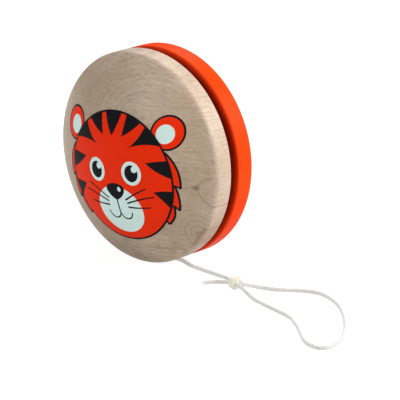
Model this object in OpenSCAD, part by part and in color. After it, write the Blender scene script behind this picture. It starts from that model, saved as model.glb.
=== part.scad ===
// A turned wooden yo-yo. It stands on its rims with its string wound up, and the string's
// free end lies beside it: a short lead, a knot, the cut tail and the finger loop.
// +Z is up and z = 0 is the surface it stands on. The axle lies along Y, and the front half
// faces -Y. All lengths are in millimetres.

/* [Halves] */
// Diameter of both halves
yoyo_d = 56; // [50:1:60]
// Width over the two domed faces
yoyo_w = 33.6; // [32.8:0.2:38]
// Clear gap between the halves, two strings wide
gap_w = 2.4; // [2.4:0.1:3]
// Radius of the domed faces
face_r = 43; // [42:1:50]
// Rounding between the rim and the dome
shoulder_r = 1.8; // [1:0.1:2.4]
// Rounding of the rim's edge at the gap
lip_r = 0.6; // [0.3:0.1:0.9]

/* [Axle] */
// Diameter of the dowel that joins the halves
axle_d = 8; // [6:0.5:8]
// Depth of the blind hole in each half
hole_depth = 10; // [6:0.5:11]
// Space left for glue at the bottom of each hole
glue_space = 0.4; // [0.2:0.1:1]
// Chamfer on the dowel's ends
axle_chamfer = 0.6; // [0.3:0.1:1]

/* [String] */
// Diameter of the string
string_d = 1.15; // [1:0.05:1.15]
// Layers of string wound on the axle, two turns in each
layers = 7; // [5:1:7]
// Running clearance between the axle and the string's own loop
axle_play = 0.05; // [0.03:0.01:0.08]
// Diameter of the knot that closes the finger loop
knot_d = 3.8; // [3.6:0.1:4.2]
// Length of the knot along the string
knot_l = 2.6; // [2.4:0.1:2.8]

/* [Hidden] */

round_fn = 128;
string_fn = 8;
loop_fn = 24;
eps = 0.01;

rim_r = yoyo_d / 2;
half_t = (yoyo_w - gap_w) / 2;
dome_z = half_t - face_r;
string_r = string_d / 2;
loop_r = axle_d / 2 + axle_play + string_r;
winding_in = loop_r + string_r;
winding_out = winding_in + layers * string_d;

// The shoulder's rounding touches the rim's cylinder and the dome's sphere.
shoulder_x = rim_r - shoulder_r;
shoulder_z = dome_z + sqrt(pow(face_r - shoulder_r, 2) - pow(shoulder_x, 2));
shoulder_slope = atan2(shoulder_z - dome_z, shoulder_x);

// The string's parts lie a hair above the table, so that the rims carry the yo-yo.
string_lift = 0.04;

// Where the strings meet the knot: two on each of its flat ends, side by side and a little
// below its middle.
knot_x = 33.6;
knot_y = -5.9;
knot_z = knot_d / 2 + string_lift;
pair_y = 0.65;
pair_drop = 0.14;
pair_z = knot_z - pair_drop;
far_y = knot_y + pair_y;
near_y = knot_y - pair_y;
knot_start = knot_x - knot_l / 2;
knot_end = knot_x + knot_l / 2;

// The lead leaves the winding on its far side, low down, and turns towards the finger loop.
leave_angle = 200;
leave_r = winding_out + string_r;
leave_x = leave_r * cos(leave_angle);
leave_z = rim_r + leave_r * sin(leave_angle);

// Routes, as the middle of the string. The lift also takes up the smooth curve's dip beside
// each rise.
flat_z = string_r + string_lift;
lead_route = [
    [leave_x, 0, leave_z], [-11.4, 0, 18.8], [-8, 0, 9.2], [-5.6, 0, 5], [-2.2, 0, 2],
    [2, 0.1, 0.8], [6, 0.3, flat_z], [10, 0, flat_z], [14.2, -1.3, flat_z],
    [22, -1.8, flat_z], [25.6, -2.1, 0.7], [28.8, -3.1, 1.1], [knot_start, far_y, pair_z]
];
loop_route = [
    [knot_end, far_y, pair_z], [36.6, -3.4, 1.2], [39, -1.4, 0.7], [43, 0.6, flat_z],
    [47, 3.7, flat_z], [51.6, 5.4, flat_z], [56.8, 4.2, flat_z], [61.8, 1.4, flat_z],
    [66.6, -2.7, flat_z], [71.6, -8.1, flat_z], [75.6, -13.8, flat_z], [77.2, -18.5, flat_z],
    [77.2, -22.1, flat_z], [74.8, -23.4, flat_z], [70.8, -22.2, flat_z], [66.2, -18.5, flat_z],
    [61.6, -14.9, flat_z], [56.8, -12.2, flat_z], [47.6, -10.2, flat_z], [43, -9, flat_z],
    [38.9, -7.1, 0.7], [36.8, -6.5, 1.2], [knot_end, near_y, pair_z]
];
tail_route = [
    [knot_start, near_y, pair_z], [29.6, -5.8, 1.1], [27, -6.1, flat_z], [25.4, -8.5, flat_z]
];

// A point on a smooth curve through p1 and p2, a share t of the way between them.
function curve_point(p0, p1, p2, p3, t) =
    0.5 * (2 * p1 + (p2 - p0) * t + (2 * p0 - 5 * p1 + 4 * p2 - p3) * t * t
           + (3 * p1 - p0 - 3 * p2 + p3) * t * t * t);

// The route's points with one more between each two, along the smooth curve.
function smooth_route(route) =
    let (last = len(route) - 1, at = function (i) route[min(max(i, 0), last)])
    [for (i = [0:last]) each i == last ? [route[last]] :
        [route[i], curve_point(at(i - 1), at(i), at(i + 1), at(i + 2), 0.5)]];

function unit(v) = v / norm(v);

// The direction of the path at its point i. At each end it is given.
function direction(path, i, first, last) =
    i == 0 ? first : i == len(path) - 1 ? last : unit(path[i + 1] - path[i - 1]);

// One ring of points round the path, square to its direction.
function ring(middle, along, beside) =
    let (u = unit(cross(along, beside)), v = cross(along, u))
    [for (k = [0:string_fn - 1]) let (a = 360 * k / string_fn)
        middle + string_r * (u * cos(a) + v * sin(a))];

// A length of string: one closed skin swept along its route. The vector beside is never
// parallel to the route.
module string_tube(route, beside, first, last) {
    path = smooth_route(route);
    rings = len(path);
    points = [for (i = [0:rings - 1])
        each ring(path[i], direction(path, i, first, last), beside)];
    skin = [for (i = [0:rings - 2], k = [0:string_fn - 1])
        let (a = i * string_fn + k, b = i * string_fn + (k + 1) % string_fn)
        each [[a, a + string_fn, b], [b, a + string_fn, b + string_fn]]];
    start_cap = [[for (k = [0:string_fn - 1]) k]];
    end_cap = [[for (k = [string_fn - 1:-1:0]) (rings - 1) * string_fn + k]];
    polyhedron(points, concat(start_cap, skin, end_cap), convexity = 6);
}

// The waste outside a rounded corner of radius r, from direction 0 to the given angle.
module corner_waste(r, angle) {
    reach = 3 * r;
    difference() {
        polygon([[0, 0], [reach, 0], [reach, reach], [reach * cos(angle), reach * sin(angle)]]);
        circle(r, $fn = round_fn);
    }
}

// One half's section, with its flat inner face on the X axis and its dome upwards.
module half_section() {
    difference() {
        intersection() {
            square([rim_r, half_t]);
            translate([0, dome_z]) circle(face_r, $fn = round_fn);
        }
        translate([shoulder_x, shoulder_z]) corner_waste(shoulder_r, shoulder_slope);
        translate([rim_r - lip_r, lip_r]) mirror([0, 1]) corner_waste(lip_r, 90);
    }
}

// One half, on its inner face, with the blind hole for the axle.
module half() {
    difference() {
        rotate_extrude($fn = round_fn) half_section();
        translate([0, 0, -eps]) cylinder(d = axle_d, h = hole_depth + eps, $fn = round_fn);
    }
}

// Puts what stands on the XY plane onto the yo-yo's axis, pointing to the front or the back.
module on_axis(turn) {
    translate([0, 0, rim_r]) rotate([turn, 0, 0]) children();
}

module front_half() {
    color("burlywood") on_axis(90) translate([0, 0, gap_w / 2]) half();
}

module back_half() {
    color("orangered") on_axis(-90) translate([0, 0, gap_w / 2]) half();
}

module axle() {
    half_length = gap_w / 2 + hole_depth - glue_space;
    radius = axle_d / 2;
    color("tan") on_axis(90) rotate_extrude($fn = round_fn) polygon([
        [0, -half_length], [radius - axle_chamfer, -half_length],
        [radius, -half_length + axle_chamfer], [radius, half_length - axle_chamfer],
        [radius - axle_chamfer, half_length], [0, half_length]
    ]);
}

// The closed end of the string, loose round the axle.
module axle_loop() {
    color("white") on_axis(90)
        rotate_extrude($fn = round_fn) translate([loop_r, 0]) circle(string_r, $fn = loop_fn);
}

// All the turns of the wound string, as one ring.
module string_winding() {
    color("white") on_axis(90) rotate_extrude($fn = round_fn)
        translate([winding_in, -string_d]) square([winding_out - winding_in, 2 * string_d]);
}

module string_lead() {
    off_winding = [-sin(leave_angle), 0, cos(leave_angle)];
    color("white") string_tube(lead_route, [0, 1, 0], off_winding, [1, 0, 0]);
}

module loop_knot() {
    color("ivory") translate([knot_x, knot_y, knot_z]) rotate([0, 90, 0])
        rotate_extrude($fn = round_fn) intersection() {
            circle(d = knot_d, $fn = round_fn);
            translate([0, -knot_l / 2]) square([knot_d / 2, knot_l]);
        }
}

module finger_loop() {
    color("white") string_tube(loop_route, [0, 0, 1], [1, 0, 0], [-1, 0, 0]);
}

module string_tail() {
    color("white") string_tube(tail_route, [0, 0, 1], [-1, 0, 0], unit([-1, -3, 0]));
}

front_half();
back_half();
axle();
axle_loop();
string_winding();
string_lead();
loop_knot();
finger_loop();
string_tail();
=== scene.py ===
"""A turned wooden yo-yo: the looks of its halves, its printed face and its cotton string.

Everything is in metres in the CAD model's frame: +Z up, the axle along Y, the natural wood half
and its printed face towards -Y, and the finger loop on the table towards +X.
"""

import math

import bmesh
import bpy
import numpy as np
from mathutils import Matrix, Vector
from mathutils.geometry import delaunay_2d_cdt


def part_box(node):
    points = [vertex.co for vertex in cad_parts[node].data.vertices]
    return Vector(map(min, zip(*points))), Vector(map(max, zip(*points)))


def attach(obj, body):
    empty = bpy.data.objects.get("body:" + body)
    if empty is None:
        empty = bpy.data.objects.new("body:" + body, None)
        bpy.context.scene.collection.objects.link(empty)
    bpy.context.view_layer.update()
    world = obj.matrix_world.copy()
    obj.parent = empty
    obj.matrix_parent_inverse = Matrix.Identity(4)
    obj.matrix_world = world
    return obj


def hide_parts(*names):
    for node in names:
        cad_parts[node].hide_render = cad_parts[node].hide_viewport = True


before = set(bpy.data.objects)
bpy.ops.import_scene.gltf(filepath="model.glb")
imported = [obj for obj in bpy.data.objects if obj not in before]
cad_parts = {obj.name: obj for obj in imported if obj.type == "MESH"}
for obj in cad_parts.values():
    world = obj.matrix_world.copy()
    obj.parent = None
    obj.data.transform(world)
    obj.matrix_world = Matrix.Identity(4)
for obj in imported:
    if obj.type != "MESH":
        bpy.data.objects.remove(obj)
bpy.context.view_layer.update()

# ---------------------------------------------------------------- sizes

MM = 0.001
half_low, half_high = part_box("front_half")
RIM_R = (half_high.z - half_low.z) / 2
AXLE_Z = RIM_R
FACE_TOP = -half_low.y
FACE_R = 43 * MM
DOME_CENTRE = Vector((0, FACE_R - FACE_TOP, AXLE_Z))

STRING_D = 1.15 * MM
STRING_R = STRING_D / 2
AXLE_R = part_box("axle")[1].x
AXLE_PLAY = 0.05 * MM
LAYERS = 7
LOOP_R = AXLE_R + AXLE_PLAY + STRING_R
FIRST_LAYER_R = LOOP_R + STRING_D
LEAVE_R = FIRST_LAYER_R + LAYERS * STRING_D
LEAVE_ANGLE = 200
TWIST_PITCH = 3.6 * MM
FIBRE_R = 0.07 * MM

KNOT_D = 3.8 * MM
KNOT_L = 2.6 * MM
KNOT_X, KNOT_Y = 33.6, -5.9
STRING_LIFT = 0.04
KNOT = Vector((KNOT_X * MM, KNOT_Y * MM, KNOT_D / 2 + STRING_LIFT * MM))
PAIR_Y, PAIR_DROP = 0.65, 0.14
PAIR_Z = KNOT.z / MM - PAIR_DROP
FAR_Y, NEAR_Y = KNOT_Y + PAIR_Y, KNOT_Y - PAIR_Y
KNOT_START, KNOT_END = KNOT_X - KNOT_L / MM / 2, KNOT_X + KNOT_L / MM / 2
FLAT_Z = STRING_R / MM + STRING_LIFT

# The string's routes on and above the table, in millimetres, as the CAD model has them.
LEAD_ROUTE = [
    (-11.4, 0, 18.8), (-8, 0, 9.2), (-5.6, 0, 5), (-2.2, 0, 2), (2, 0.1, 0.8),
    (6, 0.3, FLAT_Z), (10, 0, FLAT_Z), (14.2, -1.3, FLAT_Z), (22, -1.8, FLAT_Z),
    (25.6, -2.1, 0.7), (28.8, -3.1, 1.1), (KNOT_START, FAR_Y, PAIR_Z),
]
LOOP_ROUTE = [
    (KNOT_END, FAR_Y, PAIR_Z), (36.6, -3.4, 1.2), (39, -1.4, 0.7), (43, 0.6, FLAT_Z),
    (47, 3.7, FLAT_Z), (51.6, 5.4, FLAT_Z), (56.8, 4.2, FLAT_Z), (61.8, 1.4, FLAT_Z),
    (66.6, -2.7, FLAT_Z), (71.6, -8.1, FLAT_Z), (75.6, -13.8, FLAT_Z), (77.2, -18.5, FLAT_Z),
    (77.2, -22.1, FLAT_Z), (74.8, -23.4, FLAT_Z), (70.8, -22.2, FLAT_Z), (66.2, -18.5, FLAT_Z),
    (61.6, -14.9, FLAT_Z), (56.8, -12.2, FLAT_Z), (47.6, -10.2, FLAT_Z), (43, -9, FLAT_Z),
    (38.9, -7.1, 0.7), (36.8, -6.5, 1.2), (KNOT_END, NEAR_Y, PAIR_Z),
]
TAIL_ROUTE = [
    (KNOT_START, NEAR_Y, PAIR_Z), (29.6, -5.8, 1.1), (27, -6.1, FLAT_Z), (25.4, -8.5, FLAT_Z),
]


# ---------------------------------------------------------------- camera, floor and light

# Where the camera stands, in degrees, and how bright the room is to the yo-yo and to the camera.
CAMERA_BEARING = 44.2
CAMERA_HEIGHT = 16.7
ROOM_LIGHT, BACKDROP_LIGHT = 0.04, 1.1


def away(bearing, height):
    """The direction that points outwards at a bearing, counted from -Y towards +X, and a height,
    both in degrees."""
    turn, lift = math.radians(bearing), math.radians(height)
    return Vector((
        math.sin(turn) * math.cos(lift),
        -math.cos(turn) * math.cos(lift),
        math.sin(lift),
    ))


def make_camera():
    """The photograph's view: a long lens, a little above the table, to the right of the face."""
    distance = 0.616
    aim = Vector((0.0109, 0.0053, 0.0162))
    data = bpy.data.cameras.new("camera")
    data.lens = 213.2
    data.sensor_width = 36
    data.clip_start, data.clip_end = 0.05, 60
    camera = bpy.data.objects.new("camera", data)
    bpy.context.scene.collection.objects.link(camera)
    camera.location = Vector((0, 0, AXLE_Z)) + away(CAMERA_BEARING, CAMERA_HEIGHT) * distance
    camera.rotation_euler = (aim - camera.location).to_track_quat("-Z", "Y").to_euler()
    bpy.context.scene.camera = camera


def make_floor():
    """A plain white table top that runs out of sight. The camera sees it nearly white, and it
    lights the yo-yo like a duller one, so that it throws no glare up at it."""
    mesh = bpy.data.meshes.new("floor")
    reach = 12
    corners = [(-reach, -reach, 0), (reach, -reach, 0), (reach, reach, 0), (-reach, reach, 0)]
    mesh.from_pydata(corners, [], [(0, 1, 2, 3)])
    floor = bpy.data.objects.new("floor", mesh)
    bpy.context.scene.collection.objects.link(floor)
    paint = Shader("floor_white")
    lit = paint.glowing(0.5, 0.22)
    seen = paint.glowing(0.22, 0.9)
    paint.output(paint.to_camera(lit, seen))
    mesh.materials.append(paint.material)


def make_light(name, bearing, height, strength, softness, colour=(1, 1, 1)):
    """A broad even light from far off. bearing is degrees to the right of the camera, height is
    degrees above the table, and softness is the angle that its disc fills."""
    data = bpy.data.lights.new(name, "SUN")
    data.energy = strength
    data.angle = math.radians(softness)
    data.color = colour
    light = bpy.data.objects.new(name, data)
    bpy.context.scene.collection.objects.link(light)
    light.rotation_euler = away(CAMERA_BEARING + bearing, height).to_track_quat("Z", "Y").to_euler()


def make_lights():
    """A warm key from the right, cooler light from the left and from behind, and a soft
    highlight on the top of the face."""
    make_light("key", 70, 35, 3.4, 45, (1, 0.97, 0.92))
    make_light("side", 97, 27, 1.15, 35)
    make_light("back", 180, 50, 1.35, 45)
    make_light("left", -85, 40, 0.45, 60, (0.95, 0.98, 1))
    make_light("sheen", -53, 35, 0.85, 25)
    world = bpy.data.worlds.new("studio")
    world.use_nodes = True
    nodes, links = world.node_tree.nodes, world.node_tree.links
    looked_at = nodes.new("ShaderNodeLightPath").outputs["Is Camera Ray"]
    brightness = nodes.new("ShaderNodeMapRange")
    brightness.inputs["To Min"].default_value = ROOM_LIGHT
    brightness.inputs["To Max"].default_value = BACKDROP_LIGHT
    links.new(looked_at, brightness.inputs["Value"])
    background = nodes["Background"]
    background.inputs["Color"].default_value = (1, 1, 1, 1)
    links.new(brightness.outputs[0], background.inputs["Strength"])
    bpy.context.scene.world = world
    bpy.context.scene.view_settings.view_transform = "Standard"


# ---------------------------------------------------------------- materials

class Shader:
    """A short way to write a material's nodes."""

    def __init__(self, name):
        self.material = bpy.data.materials.new(name)
        self.material.use_nodes = True
        self.tree = self.material.node_tree
        self.tree.nodes.clear()

    def add(self, kind, inputs, **settings):
        node = self.tree.nodes.new("ShaderNode" + kind)
        for key, value in settings.items():
            setattr(node, key, value)
        for key, value in inputs.items():
            socket = node.inputs[key]
            if isinstance(value, bpy.types.NodeSocket):
                self.tree.links.new(value, socket)
            else:
                socket.default_value = value
        return node

    def place(self):
        """The place on the object, in millimetres."""
        metres = self.add("TexCoord", {}).outputs["Object"]
        return self.add("VectorMath", {0: metres, "Scale": 1 / MM}, operation="SCALE").outputs[0]

    def scaled(self, vector, scale):
        return self.vector("MULTIPLY", vector, scale)

    def noise(self, place, pace, detail, roughness=0.5):
        """Noise from 0 to 1. pace is how fast it changes along X, Y and Z: 2 is a change every
        half millimetre."""
        inputs = {"Vector": self.scaled(place, pace), "Scale": 1,
                  "Detail": detail, "Roughness": roughness}
        return self.add("TexNoise", inputs).outputs[0]

    def along_line(self, distance, scale):
        """Noise that changes only with a distance."""
        inputs = {"W": distance, "Scale": scale, "Detail": 1}
        return self.add("TexNoise", inputs, noise_dimensions="1D").outputs[0]

    def math(self, operation, a, b=0.0, c=0.0):
        return self.add("Math", {0: a, 1: b, 2: c}, operation=operation).outputs[0]

    def product(self, first, *others):
        for other in others:
            first = self.math("MULTIPLY", first, other)
        return first

    def blend(self, share, a, b):
        """The value that is a share of the way from a to b."""
        return self.add("Mix", {"Factor": share, 2: a, 3: b}).outputs[0]

    def vector(self, operation, a, b):
        """What a vector operation on a and b gives: a vector or, for a length, a value."""
        outputs = self.add("VectorMath", {0: a, 1: b}, operation=operation).outputs
        return outputs["Value" if operation in ("DISTANCE", "DOT_PRODUCT", "LENGTH") else "Vector"]

    def ramp(self, value, low, high, to_low=0.0, to_high=1.0):
        """The value from low to high, mapped smoothly to to_low and to_high."""
        inputs = {"Value": value, 1: low, 2: high, 3: to_low, 4: to_high}
        return self.add("MapRange", inputs, interpolation_type="SMOOTHSTEP").outputs[0]

    def mix(self, share, a, b):
        """The colour that is a share of the way from a to b."""
        return self.add("Mix", {"Factor": share, 6: a, 7: b}, data_type="RGBA").outputs[2]

    def bump(self, height, strength, distance):
        inputs = {"Height": height, "Strength": strength, "Distance": distance}
        return self.add("Bump", inputs).outputs[0]

    def output(self, surface):
        self.add("OutputMaterial", {"Surface": surface})
        return self.material

    def surface(self, inputs):
        return self.output(self.add("BsdfPrincipled", inputs).outputs[0])

    def glowing(self, grey, glow):
        """A matt grey that also gives off white light, as a light table does."""
        inputs = {"Base Color": (grey, grey, grey, 1), "Roughness": 0.9,
                  "Emission Color": (1, 1, 1, 1), "Emission Strength": glow}
        return self.add("BsdfPrincipled", inputs).outputs[0]

    def to_camera(self, others, seen):
        """One surface that the camera sees, and another that lights everything else."""
        looked_at = self.add("LightPath", {}).outputs["Is Camera Ray"]
        return self.add("MixShader", {0: looked_at, 1: others, 2: seen}).outputs[0]


class Grain:
    """The grain of a flat-sawn board, as values from 0 to 1. The fibres run along X. The rings
    are long ovals round a high point of the face on the left, and level lines on the right.
    All lengths are in millimetres."""

    HEART = (9, -13, 40)
    STRETCH = (0.8, 0.25, 1)
    RING = 1.5
    LINE = 1.05
    SWAY = 2.5
    LINES_FROM, LINES_ONLY = 12, 18
    RISE_FROM, PEAK = 0.3, 0.8

    def __init__(self, shader):
        self.shader = shader
        self.place = shader.place()
        split = shader.add("SeparateXYZ", {0: self.place}).outputs
        self.depth = split["Y"]
        sway = shader.noise(self.place, (0.06, 0.09, 0.09), 1, 0.4)
        on_right = shader.ramp(split["X"], self.LINES_FROM, self.LINES_ONLY)
        self.rings = shader.blend(on_right, self.ovals(sway), self.lines(sway, split["Z"]))
        self.streaks = shader.noise(self.place, (0.1, 0.1, 1.4), 2, 0.6)
        self.fibres = shader.noise(self.place, (0.4, 3, 3), 3, 0.6)
        self.flecks = shader.ramp(shader.noise(self.place, (0.6, 1.2, 2.2), 1, 0.4), 0.52, 0.7)
        self.mottle = shader.ramp(shader.noise(self.place, (0.06, 0.1, 0.1), 2), 0.35, 0.65)
        clouds = shader.ramp(shader.noise(self.place, (0.22, 0.3, 0.34), 2, 0.55), 0.45, 0.65)
        # Painted shade: the clouds are made darker towards the bottom of the face.
        shade_low_down = shader.ramp(split["Z"], 18, 8, 0.2, 1)
        self.clouds = shader.product(clouds, shade_low_down)

    def ovals(self, sway):
        """Rings round the heart, with a fainter one between each two. Whole rings and blotches
        of them are pale, and so is the heart."""
        shader = self.shader
        oval = shader.scaled(shader.vector("SUBTRACT", self.place, self.HEART), self.STRETCH)
        distance = shader.vector("LENGTH", oval, (0, 0, 0))
        distance = shader.math("MULTIPLY_ADD", sway, self.SWAY, distance)
        distance = shader.math("MULTIPLY_ADD", shader.along_line(distance, 0.5), 1.4, distance)
        between = shader.product(self.bands(distance, self.RING / 2), 0.4)
        rings = self.largest([self.bands(distance, self.RING), between])
        pale_rings = shader.ramp(shader.along_line(distance, 0.7), 0.3, 0.6, 0.5, 1)
        blotches = shader.ramp(shader.noise(self.place, (0.3, 0.3, 0.4), 2, 0.6), 0.36, 0.56, 0.4, 1)
        heart = shader.ramp(distance, 6, 10, 0.2, 1)
        return shader.product(rings, pale_rings, blotches, heart)

    def lines(self, sway, height):
        """Level lines with breaks in them."""
        shader = self.shader
        level = shader.math("MULTIPLY_ADD", sway, self.SWAY, height)
        level = shader.math("MULTIPLY_ADD", shader.along_line(level, 0.6), 0.9, level)
        breaks = shader.ramp(shader.noise(self.place, (0.22, 0.3, 0.5), 1), 0.4, 0.6, 0.1, 0.8)
        return shader.product(self.bands(level, self.LINE), breaks)

    def bands(self, distance, width):
        """Dark late wood at the end of each year's growth."""
        share = self.shader.math("FRACT", self.shader.math("DIVIDE", distance, width))
        rise = self.shader.ramp(share, self.RISE_FROM, self.PEAK)
        fall = self.shader.ramp(share, 1, self.PEAK)
        return self.shader.product(rise, fall)

    def from_point(self, x, z, stretch=(1, 0, 1)):
        """The distance from a point, as seen along Y."""
        middle = (x * stretch[0], 0, z * stretch[2])
        return self.shader.vector("DISTANCE", self.shader.scaled(self.place, stretch), middle)

    def from_axis(self):
        return self.from_point(0, AXLE_Z / MM)

    def near_line(self, start, end, width):
        """1 on a straight line, as seen along Y, and 0 beyond half its width."""
        shader = self.shader
        first, last = Vector((start[0], 0, start[1])), Vector((end[0], 0, end[1]))
        step = last - first
        offset = shader.vector("SUBTRACT", shader.scaled(self.place, (1, 0, 1)), first)
        share = shader.vector("DOT_PRODUCT", offset, step / step.length_squared)
        share = shader.add("Clamp", {"Value": share}).outputs[0]
        foot = shader.add("VectorMath", {0: step, "Scale": share}, operation="SCALE").outputs[0]
        return shader.ramp(shader.vector("DISTANCE", offset, foot), width / 2, 0)

    def largest(self, values):
        most = values[0]
        for value in values[1:]:
            most = self.shader.math("MAXIMUM", most, value)
        return most


# Marks on the front face, as (X, Z) in millimetres.
BURL, SWIRL, PIN_KNOT = (22.4, 12), (25.6, 25.4), (23.5, 25.6)
BURL_RING = 1.15
BURL_HEART = ((20.2, 9), (24, 14.2))
CRACKS = [
    [(23.6, 25.8), (25.0, 27.6), (26.9, 28.2)],
    [(23.6, 25.2), (24.6, 22.9), (25.4, 21.7), (26.3, 20.6), (28, 20.5)],
]
HAIR_LINE = ((20.4, 25.5), (23.4, 25.7))

WOOD_DARK, WOOD_LIGHT = (0.505, 0.39, 0.279, 1), (0.595, 0.477, 0.36, 1)
# Painted highlight: the rim band's paler, pinker tone stands in for the varnish's sheen.
RIM_SHEEN_TONE = (0.57, 0.45, 0.405, 1)
CLOUD_TONE = (0.36, 0.26, 0.17, 1)
RING_TONE = (0.34, 0.24, 0.155, 1)
STREAK_TONE = (0.36, 0.27, 0.18, 1)
FLECK_TONE = (0.33, 0.23, 0.14, 1)
CRACK_TONE = (0.24, 0.145, 0.085, 1)
BURL_TONE = (0.28, 0.18, 0.11, 1)
KNOT_TONE = (0.22, 0.135, 0.08, 1)


def natural_wood():
    """Pale maple under a thin satin varnish, with a pin knot and a burl on the right. Each stain,
    and the painted rim highlight and low painted shade, is laid over the last."""
    shader = Shader("natural_wood")
    grain = Grain(shader)
    from_burl = grain.from_point(*BURL, (1, 0, 0.7))
    rings = shader.blend(shader.ramp(from_burl, 6, 2.5), grain.rings, grain.bands(from_burl, BURL_RING))
    from_swirl = grain.from_point(*SWIRL, (1.1, 0, 0.9))
    rings = shader.blend(shader.ramp(from_swirl, 4, 1.8), rings, 0.0)
    cracks = [grain.near_line(*ends, 1.0) for line in CRACKS for ends in zip(line, line[1:])]
    from_knot = grain.from_point(*PIN_KNOT, (0.8, 0, 1.2))
    stains_and_painted_light = [
        # Painted highlight: a paler, pinker band round the rim, standing in for the varnish's sheen.
        (shader.ramp(grain.from_axis(), 26.2, 27.6, 0, 0.4), RIM_SHEEN_TONE),
        # Painted shade: grain.clouds are darker towards the bottom of the face, on top of their real
        # mottle.
        (shader.product(grain.clouds, 0.5), CLOUD_TONE),
        (shader.product(rings, 0.5), RING_TONE),
        (shader.ramp(grain.streaks, 0.4, 0.7, 0, 0.2), STREAK_TONE),
        (shader.ramp(grain.fibres, 0.35, 0.7, 0, 0.4), CLOUD_TONE),
        (shader.product(grain.flecks, 0.4), FLECK_TONE),
        (shader.product(grain.largest(cracks), 0.4), CRACK_TONE),
        (shader.product(grain.near_line(*HAIR_LINE, 0.5), 0.3), CRACK_TONE),
        (shader.product(grain.near_line(*BURL_HEART, 1.8), 0.6), BURL_TONE),
        (shader.product(shader.ramp(from_knot, 1.1, 0.2), 0.9), KNOT_TONE),
    ]
    tone = shader.mix(grain.mottle, WOOD_DARK, WOOD_LIGHT)
    for share, overlay_tone in stains_and_painted_light:
        tone = shader.mix(share, tone, overlay_tone)
    relief = shader.math("MULTIPLY_ADD", grain.flecks, -0.5, grain.fibres)
    return shader.surface({
        "Base Color": tone,
        "Roughness": shader.ramp(grain.fibres, 0.3, 0.7, 0.38, 0.5),
        "Specular IOR Level": 0.42,
        "Normal": shader.bump(relief, 0.25, 0.06 * MM),
    })


def painted_wood():
    """Orange-red satin paint, thin enough for the grain to show in its surface. On the flat face
    inside the gap its colour is painted darker away from the rim, as painted shade in the gap."""
    shader = Shader("painted_wood")
    grain = Grain(shader)
    inside_gap = shader.ramp(grain.depth, 1.9, 1.2)
    shade_away_from_rim = shader.ramp(grain.from_axis(), 25.8, 28.1, 0.95, 0.25)
    tone = shader.mix(grain.mottle, (0.84, 0.050, 0.004, 1), (0.90, 0.058, 0.005, 1))
    tone = shader.mix(shader.product(grain.rings, 0.1), tone, (0.70, 0.03, 0.004, 1))
    # Painted shade: the flat face inside the gap is darkened, most of all away from the rim.
    tone = shader.mix(shader.product(inside_gap, shade_away_from_rim), tone, (0.30, 0.008, 0.004, 1))
    ripple = shader.noise(grain.place, (1.1, 1.1, 1.1), 2)
    height = shader.math("MULTIPLY_ADD", grain.fibres, 0.5, ripple)
    return shader.surface({
        "Base Color": tone,
        "Roughness": shader.blend(grain.mottle, 0.34, 0.42),
        "Specular IOR Level": 0.03,
        "Normal": shader.bump(height, 0.18, 0.08 * MM),
    })


def dowel_wood():
    """Bare birch, with its fibres along the axle."""
    shader = Shader("dowel_wood")
    fibres = shader.noise(shader.place(), (3, 0.15, 3), 3, 0.6)
    tone = shader.mix(shader.ramp(fibres, 0.3, 0.7), (0.52, 0.37, 0.22, 1), (0.66, 0.50, 0.33, 1))
    bump = shader.bump(fibres, 0.3, 0.06 * MM)
    return shader.surface({"Base Color": tone, "Roughness": 0.7, "Normal": bump})


def cotton(name, dark, light, scatter):
    """Cotton yarn. Its fibres run along each strand, at a slant, in the mesh's own UVs. A faint
    glow stands in for the light that passes through the fibres from a bright table."""
    slant, stretch = 9, 1.5
    shader = Shader(name)
    uv = shader.add("UVMap", {}, uv_map="along").outputs[0]
    split = shader.add("SeparateXYZ", {0: uv}).outputs
    round_it = shader.math("MULTIPLY_ADD", split["Y"], slant, split["X"])
    along_it = shader.product(split["Y"], stretch)
    line = shader.add("CombineXYZ", {"X": round_it, "Y": along_it}).outputs[0]
    fibres = shader.noise(line, (9, 9, 9), 3, 0.6)
    patches = shader.noise(shader.place(), (0.5, 0.5, 0.5), 2)
    tone = shader.mix(shader.ramp(fibres, 0.3, 0.7), dark, light)
    tone = shader.mix(shader.ramp(patches, 0.35, 0.7, 0, 0.4), tone, dark)
    return shader.surface({
        "Base Color": tone,
        "Roughness": 0.95,
        "Subsurface Weight": 1.0,
        "Subsurface Radius": (1, 1, 0.9),
        "Subsurface Scale": scatter,
        "Emission Color": tone,
        "Emission Strength": 1.1,
        "Sheen Weight": 0.6,
        "Sheen Roughness": 0.6,
        "Normal": shader.bump(fibres, 0.5, 0.08 * MM),
    })


def ink(name, colour, worn):
    """Printing ink: flat colour with a slight unevenness, where the wood's grain shows through."""
    shader = Shader(name)
    specks = shader.noise(shader.place(), (0.8, 3, 3), 4, 0.7)
    return shader.surface({
        "Base Color": shader.mix(shader.ramp(specks, 0.35, 0.7), colour, worn),
        "Roughness": 0.45,
        "Specular IOR Level": 0.06,
        "Normal": shader.bump(specks, 0.15, 0.04 * MM),
    })


# ---------------------------------------------------------------- printed face

PRINT_TURN = math.radians(5.6)
PRINT_X = 1.0 * MM
HEAD = (0, -2.8)
HEAD_R = 17.3
EDGE = 0.5
PEN = 0.42
INK_LAYER = 0.02
CELL = 0.9


def circle(middle, radius, height=None, count=72):
    """A circle, or an ellipse where its half height is given, as points in millimetres."""
    height = radius if height is None else height
    turns = [2 * math.pi * k / count for k in range(count)]
    return [(middle[0] + radius * math.cos(a), middle[1] + height * math.sin(a)) for a in turns]


def on_head(degrees, radius=HEAD_R):
    """A point at an angle from the top of the head, to its right."""
    a = math.radians(degrees)
    return (HEAD[0] + radius * math.sin(a), HEAD[1] + radius * math.cos(a))


def arc_on_head(start, end, radius=HEAD_R, count=12):
    return [on_head(start + (end - start) * k / count, radius) for k in range(count + 1)]


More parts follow.
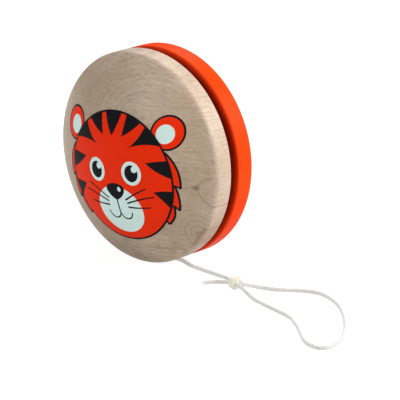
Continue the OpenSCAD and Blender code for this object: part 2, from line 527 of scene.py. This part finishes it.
def bowed(start, end, bow, count=10):
    """The inner points of an arched line from start to end. bow is its height to the left."""
    dx, dz = end[0] - start[0], end[1] - start[1]
    length = math.hypot(dx, dz)
    side = (-dz / length, dx / length)
    shares = [k / count for k in range(1, count)]
    return [(start[0] + dx * t + side[0] * bow * 4 * t * (1 - t),
             start[1] + dz * t + side[1] * bow * 4 * t * (1 - t)) for t in shares]


def spike(start, end, tip, bow_out, bow_back, radius=HEAD_R):
    """A pointed stripe or tuft that stands on the head's edge between two angles."""
    base = arc_on_head(start, end, radius)
    return base + bowed(base[-1], tip, bow_out) + [tip] + bowed(tip, base[0], bow_back)


def rounded(points, count=8):
    """A closed smooth curve through the points."""
    outline = []
    for i in range(len(points)):
        p0, p1, p2, p3 = (Vector(points[(i + k) % len(points)]) for k in (-1, 0, 1, 2))
        for k in range(count):
            outline.append(tuple(curve_point(p0, p1, p2, p3, k / count)))
    return outline


def stroke(line, width_start, width_end):
    """A line drawn with a pen that narrows or widens on its way."""
    left, right = [], []
    last = len(line) - 1
    for i, point in enumerate(line):
        before, after = line[max(i - 1, 0)], line[min(i + 1, last)]
        along = (Vector(after) - Vector(before)).normalized()
        side = Vector((-along.y, along.x)) * (width_start + (width_end - width_start) * i / last) / 2
        left.append(tuple(Vector(point) + side))
        right.append(tuple(Vector(point) - side))
    return left + right[::-1]


def mirrored(outline):
    return [(-x, z) for x, z in reversed(outline)]


def both_sides(outlines):
    return outlines + [mirrored(o) for o in outlines]


def curve_point(p0, p1, p2, p3, t):
    """A point of the smooth curve through p1 and p2, a share t of the way between them."""
    return 0.5 * (2 * p1 + (p2 - p0) * t + (2 * p0 - 5 * p1 + 4 * p2 - p3) * t * t
                  + (3 * p1 - p0 - 3 * p2 + p3) * t * t * t)


def inside(point, outline):
    """True if the point is inside the outline."""
    x, z = point
    crossings = 0
    for (x0, z0), (x1, z1) in zip(outline, outline[1:] + outline[:1]):
        if (z0 > z) != (z1 > z) and x < x0 + (z - z0) * (x1 - x0) / (z1 - z0):
            crossings += 1
    return crossings % 2 == 1


def near_outline(point, outline, distance):
    """True if the point is closer to a corner of the outline than the distance."""
    return any(math.hypot(point[0] - x, point[1] - z) < distance for x, z in outline)


def filled(outline):
    """Flat triangles that fill the outline, small enough to follow the dome."""
    xs, zs = [p[0] for p in outline], [p[1] for p in outline]
    grid = [(x, z) for x in np.arange(min(xs), max(xs), CELL) for z in np.arange(min(zs), max(zs), CELL)]
    grid = [p for p in grid if inside(p, outline) and not near_outline(p, outline, CELL / 2)]
    points = [Vector(p) for p in outline + grid]
    ring = [(i, (i + 1) % len(outline)) for i in range(len(outline))]
    made = delaunay_2d_cdt(points, ring, [], 1, 1e-6)
    return made[0], made[2]


def on_face(x, z, lift):
    """A point of the print laid on the domed face and lifted off it, all in millimetres."""
    turned = Matrix.Rotation(PRINT_TURN, 2) @ Vector((x, z)) * MM
    px, pz = turned.x + PRINT_X, turned.y
    py = DOME_CENTRE.y - math.sqrt(FACE_R ** 2 - px ** 2 - pz ** 2)
    point = Vector((px, py, AXLE_Z + pz))
    return point + (point - DOME_CENTRE).normalized() * lift * MM


def add_plate(sheet, outline, level):
    """One closed plate of ink that fills the outline and follows the dome. Its top is level times
    INK_LAYER above the wood, and its underside is just inside it."""
    points, triangles = filled(outline)
    low = [sheet.verts.new(on_face(p.x, p.y, -INK_LAYER)) for p in points]
    high = [sheet.verts.new(on_face(p.x, p.y, INK_LAYER * level)) for p in points]
    edges = [(t[k], t[(k + 1) % 3]) for t in triangles for k in range(3)]
    for a, b, c in triangles:
        sheet.faces.new((high[a], high[b], high[c]))
        sheet.faces.new((low[c], low[b], low[a]))
    on_rim = set(edges) - {(b, a) for a, b in edges}
    for a, b in edges:
        if (a, b) in on_rim:
            sheet.faces.new((low[a], low[b], high[b], high[a]))


def print_layer(name, outlines, level, material):
    """One layer of ink, with a plate for each outline."""
    sheet = bmesh.new()
    for outline in outlines:
        add_plate(sheet, outline, level)
    piece = mesh_object(name, sheet, material)
    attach(piece, "yoyo")


def mesh_object(name, sheet, material, smooth=False):
    """A Blender object from a bmesh."""
    mesh = bpy.data.meshes.new(name)
    sheet.to_mesh(mesh)
    sheet.free()
    mesh.materials.append(material)
    mesh.polygons.foreach_set("use_smooth", [smooth] * len(mesh.polygons))
    piece = bpy.data.objects.new(name, mesh)
    bpy.context.scene.collection.objects.link(piece)
    return piece


def dotted(line, step=0.6):
    """The line again, with points at most a step apart, so that ink on it follows the dome."""
    points = [line[0]]
    for (x0, z0), (x1, z1) in zip(line, line[1:]):
        parts = math.ceil(math.hypot(x1 - x0, z1 - z0) / step)
        points += [(x0 + (x1 - x0) * k / parts, z0 + (z1 - z0) * k / parts) for k in range(1, parts + 1)]
    return points


def drawn(corners, bow, width_start, width_end):
    """A pen line between two corners, arched to the left."""
    start, end = corners
    return stroke(dotted([start] + bowed(start, end, bow) + [end]), width_start, width_end)


# The fur beside the right cheek: each lock's root, its tip and how far its outer side bulges.
LOCKS = [
    ((15.6, 4.6), (18.8, -4.7), 1.3),
    ((17.4, -3.8), (17.4, -10.7), 0.6),
    ((16.3, -9.2), (13.6, -14.6), 0.9),
]
LAST_NOTCH = (13.2, -13.1)
UNDER_HEAD = [(10, -9), (13, -2)]


def fur():
    """Three locks that stand out beside each cheek."""
    outline = []
    for root, tip, bulge in LOCKS:
        outline += [root] + bowed(root, tip, bulge) + [tip]
    return both_sides([outline + [LAST_NOTCH] + UNDER_HEAD])


def fur_edges():
    notches = [root for root, _, _ in LOCKS[1:]] + [LAST_NOTCH]
    lines = []
    for (root, tip, bulge), notch in zip(LOCKS, notches):
        lines += [drawn((root, tip), bulge, EDGE, EDGE), drawn((tip, notch), 0, EDGE, EDGE * 0.7)]
    return both_sides(lines)


def stripes():
    """The dark stripes that point inwards from the head's edge."""
    return [spike(-10, 9, (-0.1, 8.1), 0.25, 0.25)] + both_sides([
        spike(14.5, 31, (3.2, 8.1), 0.3, -0.1),
        spike(36, 59, (5.4, 5.4), -0.7, -0.6),
        spike(72, 88, (10.4, 1.8), 0.4, 0.1),
        spike(99, 116, (11.8, -5.8), -0.2, 0.2),
    ])


def whiskers():
    lines = [
        ((2.9, -8.5), (9.7, -5.0), 0.15),
        ((3.2, -9.4), (11.7, -7.1), 0.2),
        ((3.2, -10.4), (10.1, -10.1), -0.15),
    ]
    return both_sides([drawn((start, end), bow, PEN, 0.3) for start, end, bow in lines])


def mouth():
    """A line down from the nose, and a curve to each side from its foot."""
    radius, foot, steps = 1.95, -11.9, 14
    turns = [math.pi * (1 + k / steps) for k in range(steps + 1)]
    smile = [(radius + radius * math.cos(a), foot + radius * math.sin(a)) for a in turns]
    return [drawn(((0, -8), (0, foot)), 0, PEN, 0.38)] + both_sides([stroke(smile, 0.38, 0.34)])


def make_print():
    """A tiger cub's face, built up from circles, spikes and strokes, the lowest layer first."""
    red = ink("print_red", (0.93, 0.026, 0.0012, 1), (0.86, 0.034, 0.002, 1))
    black = ink("print_black", (0.004, 0.005, 0.007, 1), (0.010, 0.011, 0.014, 1))
    white = ink("print_white", (0.72, 0.92, 0.885, 1), (0.67, 0.85, 0.81, 1))
    ear, inner_ear, ear_r = (16, 9.5), (15.5, 9.2), 4.45
    eye, pupil, glint = (6, -1.15), (6, -1.2), (1.0, 1.15)
    glints = [circle((side * pupil[0] + glint[0], pupil[1] + glint[1]), 0.85) for side in (-1, 1)]
    half_nose = [(2.3, -4.7), (3.0, -5.9), (1.9, -7.6)]
    nose = [(0, -4.2)] + half_nose + [(0, -8.6)] + mirrored(half_nose)
    layers = [
        ("face_ear_edges", both_sides([circle(ear, ear_r)]), 1, black),
        ("face_ears", both_sides([circle(ear, ear_r - EDGE)]), 2, red),
        ("face_inner_ears", both_sides([circle(inner_ear, 2.4)]), 3, white),
        ("face_fur", fur(), 2, red),
        ("face_fur_edges", fur_edges(), 3, black),
        ("face_head_edge", [circle(HEAD, HEAD_R, count=144)], 4, black),
        ("face_head", [circle(HEAD, HEAD_R - EDGE, count=144)], 5, red),
        ("face_stripes", stripes(), 6, black),
        ("face_muzzle", [circle((0, -11.4), 7.5, 6.45)], 6, white),
        ("face_eyes", both_sides([circle(eye, 3.0, 3.15)]), 6, white),
        ("face_pupils", both_sides([circle(pupil, 2.0, 2.2)]), 7, black),
        ("face_glints", glints, 8, white),
        ("face_whiskers", whiskers(), 7, black),
        ("face_mouth", mouth(), 7, black),
        ("face_nose", [rounded(nose)], 8, black),
        ("face_nose_glint", [circle((1.4, -5.7), 0.55, 0.65)], 9, white),
    ]
    for name, outlines, level, material in layers:
        print_layer(name, outlines, level, material)


# ---------------------------------------------------------------- string

# A direction that no string runs in at its start.
ANY_SIDE = (0.3, 1.0, 0.2)


def smooth_step(t):
    """0 up to t = 0 and 1 from t = 1, with a smooth rise between."""
    t = min(max(t, 0), 1)
    return t * t * (3 - 2 * t)


def wound_turns():
    """The string from its loop round the axle to where it leaves the winding: one turn on the
    axle, two in each layer side by side, and a last stretch over the outermost layer. It moves
    to its next place in the first quarter of each turn."""
    stops = [(LOOP_R, 0)]
    for layer in range(LAYERS):
        side = -1 if layer % 2 == 0 else 1
        radius = FIRST_LAYER_R + layer * STRING_D
        stops += [(radius, side * STRING_R), (radius, -side * STRING_R)]
    stops.append((LEAVE_R, 0))
    per_turn, last_stretch, shift = 24, 8, 0.25
    steps = (len(stops) - 1) * per_turn + last_stretch
    points = []
    for step in range(steps):
        turn, share = step // per_turn, (step % per_turn) / per_turn
        radius, side = stops[turn]
        before = stops[max(turn - 1, 0)]
        part = smooth_step(share / shift)
        radius = before[0] + (radius - before[0]) * part
        side = before[1] + (side - before[1]) * part
        angle = math.radians(LEAVE_ANGLE - 360 * (steps - step) / per_turn)
        points.append(Vector((radius * math.cos(angle), side, AXLE_Z + radius * math.sin(angle))))
    return points


def smooth_route(points, count=6):
    """A smooth open curve through the points."""
    last = len(points) - 1
    line = []
    for i in range(last):
        p0, p1, p2, p3 = (points[min(max(i + k, 0), last)] for k in (-1, 0, 1, 2))
        line += [curve_point(p0, p1, p2, p3, k / count) for k in range(count)]
    return line + [points[last]]


def evenly(points, step):
    """The line again, with its points a step apart."""
    line = np.array(points)
    lengths = np.concatenate([[0], np.cumsum(np.linalg.norm(np.diff(line, axis=0), axis=1))])
    places = np.linspace(0, lengths[-1], int(lengths[-1] / step) + 1)
    return np.stack([np.interp(places, lengths, line[:, k]) for k in range(3)], axis=1)


def strand_outline(sides):
    """The outline of three strands laid together, as angles and shares of the full radius."""
    offset, strand = 0.36, 0.64
    angles = np.linspace(0, 2 * np.pi, sides, endpoint=False)
    third = 2 * np.pi / 3
    within = (angles + third / 2) % third - third / 2
    reach = offset * np.cos(within) + np.sqrt(strand ** 2 - (offset * np.sin(within)) ** 2)
    return angles, reach


def twisted_string(name, points, radius=STRING_R, step=0.3 * MM, sides=24):
    """Three-strand string along a line, as a closed mesh with UVs round and along it. Its
    thickness wavers a little, as spun yarn's does."""
    line = evenly(points, step)
    along = np.gradient(line, axis=0)
    along /= np.linalg.norm(along, axis=1)[:, None]
    angles, reach = strand_outline(sides)
    waver, fast, slow = 0.03, 0.13, 0.031
    across = np.cross(along[0], ANY_SIDE)
    across /= np.linalg.norm(across)
    rings = []
    for i, (middle, ahead) in enumerate(zip(line, along)):
        across = across - ahead * across.dot(ahead)
        across /= np.linalg.norm(across)
        beside = np.cross(ahead, across)
        turn = angles + 2 * np.pi * i * step / TWIST_PITCH
        spread = radius * reach * (1 + waver * math.sin(i * fast) * math.sin(i * slow))
        sideways = np.outer(np.cos(turn) * spread, across)
        rings.append(middle + sideways + np.outer(np.sin(turn) * spread, beside))
    return skin(name, rings, step)


def skin(name, rings, step):
    """A closed mesh over rings of points, each with the same number of points."""
    count, sides = len(rings), len(rings[0])
    vertices = np.concatenate(rings)
    starts = [i * sides for i in range(count)]
    quads = [(low + k, low + (k + 1) % sides, high + (k + 1) % sides, high + k)
             for low, high in zip(starts, starts[1:]) for k in range(sides)]
    caps = [tuple(range(sides - 1, -1, -1)), tuple(starts[-1] + k for k in range(sides))]
    mesh = bpy.data.meshes.new(name)
    mesh.from_pydata(vertices.tolist(), [], quads + caps)
    uv = mesh.uv_layers.new(name="along")
    for polygon in mesh.polygons:
        first = polygon.vertices[0] % sides
        for loop in polygon.loop_indices:
            vertex = mesh.loops[loop].vertex_index
            k = vertex % sides
            round_it = (k + sides if k < first and first - k > 1 else k) / sides
            uv.data[loop].uv = (round_it, (vertex // sides) * step / TWIST_PITCH)
    mesh.polygons.foreach_set("use_smooth", [True] * len(mesh.polygons))
    mesh.update()
    piece = bpy.data.objects.new(name, mesh)
    bpy.context.scene.collection.objects.link(piece)
    return piece


def make_string(material):
    """The whole string, from its loop on the axle to its cut tail."""
    routes = [Vector(p) * MM for p in LEAD_ROUTE + LOOP_ROUTE + TAIL_ROUTE]
    wound = wound_turns()
    line = wound + smooth_route([wound[-1]] + routes)[1:]
    path = evenly(line, 1.0 * MM)
    length = float(np.linalg.norm(np.diff(path, axis=0), axis=1).sum())
    string = twisted_string("string", line)
    string.data.materials.append(material)
    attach(string, "string")
    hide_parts("axle_loop", "string_winding", "string_lead", "finger_loop", "string_tail")
    return string, path, length


def make_knot(material):
    """Two tight turns round the strings, whose ends run back into the middle."""
    turns, steps, start = 2.35, 60, 0.6
    radius, pitch, lean = 1.15 * MM, 0.5 * MM, 0.12 * MM
    tucked_in, tuck_share = 0.35, 0.12
    points = []
    for k in range(steps + 1):
        t = k / steps
        tuck = smooth_step(min(t, 1 - t) / tuck_share)
        angle = start + 2 * math.pi * turns * t
        away = radius * (tucked_in + (1 - tucked_in) * tuck)
        along = (t - 0.5) * turns * pitch + lean * math.cos(angle)
        points.append(KNOT + Vector((along, away * math.cos(angle), away * math.sin(angle))))
    knot = twisted_string("knot", smooth_route(points, 3), 1.25 * STRING_R, step=0.2 * MM)
    knot.data.materials.append(material)
    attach(knot, "string")
    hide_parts("loop_knot")
    return knot


def make_fray(material):
    """Loose fibres at the tail's cut end, spread evenly over it by a spiral."""
    count, spiral, inset = 22, 2.4, 0.2 * MM
    end = Vector(TAIL_ROUTE[-1]) * MM
    sheet = bmesh.new()
    for k in range(count):
        turn = spiral * k
        spread = 0.42 * STRING_D * math.sqrt((k + 0.5) / count)
        root = end + Vector((spread * math.cos(turn), inset, spread * math.sin(turn) * 0.9))
        heading = Vector((-0.33 + 0.5 * math.cos(turn), -1, 0.35 * math.sin(turn))).normalized()
        length = (1.0 + 0.5 * math.sin(3.7 * k)) * MM
        add_fibre(sheet, root, heading, length, FIBRE_R)
    fray = mesh_object("tail_fray", sheet, material, smooth=True)
    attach(fray, "string")
    return fray


def add_fibre(sheet, root, heading, length, radius):
    """A thin tapered fibre that droops towards the table."""
    sides, parts, droop, taper = 5, 5, 0.3, 0.75
    side = heading.cross(Vector((0, 0, 1))).normalized()
    up = heading.cross(side)
    spokes = [2 * math.pi * k / sides for k in range(sides)]
    spokes = [side * math.cos(a) + up * math.sin(a) for a in spokes]
    rings = []
    for i in range(parts + 1):
        t = i / parts
        middle = root + heading * length * t
        middle.z = max(middle.z - droop * length * t * t, radius)
        width = radius * (1 - taper * t)
        rings.append([sheet.verts.new(middle + spoke * width) for spoke in spokes])
    for low, high in zip(rings, rings[1:]):
        for k in range(sides):
            sheet.faces.new((low[k], low[(k + 1) % sides], high[(k + 1) % sides], high[k]))
    sheet.faces.new(rings[0][::-1])
    sheet.faces.new(rings[-1])


# ---------------------------------------------------------------- the whole yo-yo

def dress(node, material):
    """Gives a CAD node its finish."""
    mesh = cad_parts[node].data
    mesh.materials.clear()
    mesh.materials.append(material)


make_camera()
yarn = cotton("cotton", (0.295, 0.295, 0.28, 1), (0.345, 0.345, 0.337, 1), 1.1 * MM)
string, path, string_length = make_string(yarn)
# Painted light: the knot's cotton is lighter than the string's, to lift the shade in its grooves; its
# warmer tone is its own.
knot = make_knot(cotton("cotton_knot", (0.36, 0.348, 0.285, 1), (0.405, 0.393, 0.326, 1), 0.2 * MM))
fray = make_fray(yarn)
dress("front_half", natural_wood())
dress("back_half", painted_wood())
dress("axle", dowel_wood())
make_print()
make_floor()
make_lights()
